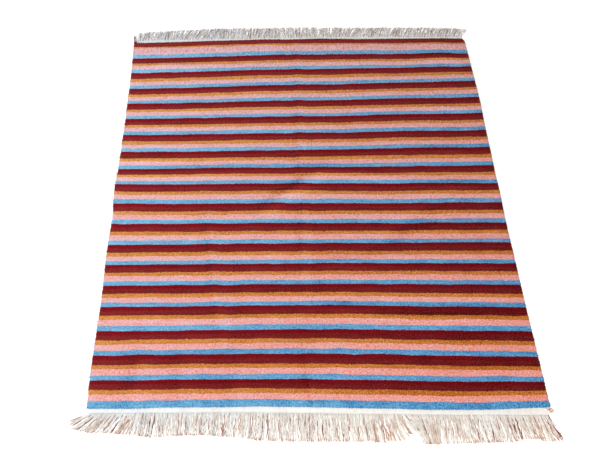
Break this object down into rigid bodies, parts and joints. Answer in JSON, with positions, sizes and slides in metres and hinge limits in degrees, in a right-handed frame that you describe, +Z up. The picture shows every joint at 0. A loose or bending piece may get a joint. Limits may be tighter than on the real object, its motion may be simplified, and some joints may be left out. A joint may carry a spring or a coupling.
{
  "type": "striped knotted wool rug with a cotton fringe",
  "caption": "Flat hand-knotted wool pile rug in cross stripes of crimson, maroon, gold, pink and blue, with a flat-woven cream band and a cotton warp fringe at both ends.",
  "frame": {"origin": "on the flat underside, in the middle of the pile field", "axes": "+Z up out of the pile, +X to the right along the stripes, +Y along the warps towards the far end, which has the shorter and more slanted fringe"},
  "size_m": [1.5632, 1.7911, 0.0115],
  "materials": {
    "wool_pile": "matte cut wool pile in cross stripes of crimson, maroon, gold, pink and light blue",
    "cotton_fringe": "matte undyed cream cotton yarn"
  },
  "bodies": {
    "root": {"rug_cloth": "wool_pile", "fringe_near": "cotton_fringe", "fringe_far": "cotton_fringe"}
  },
  "joints": []
}
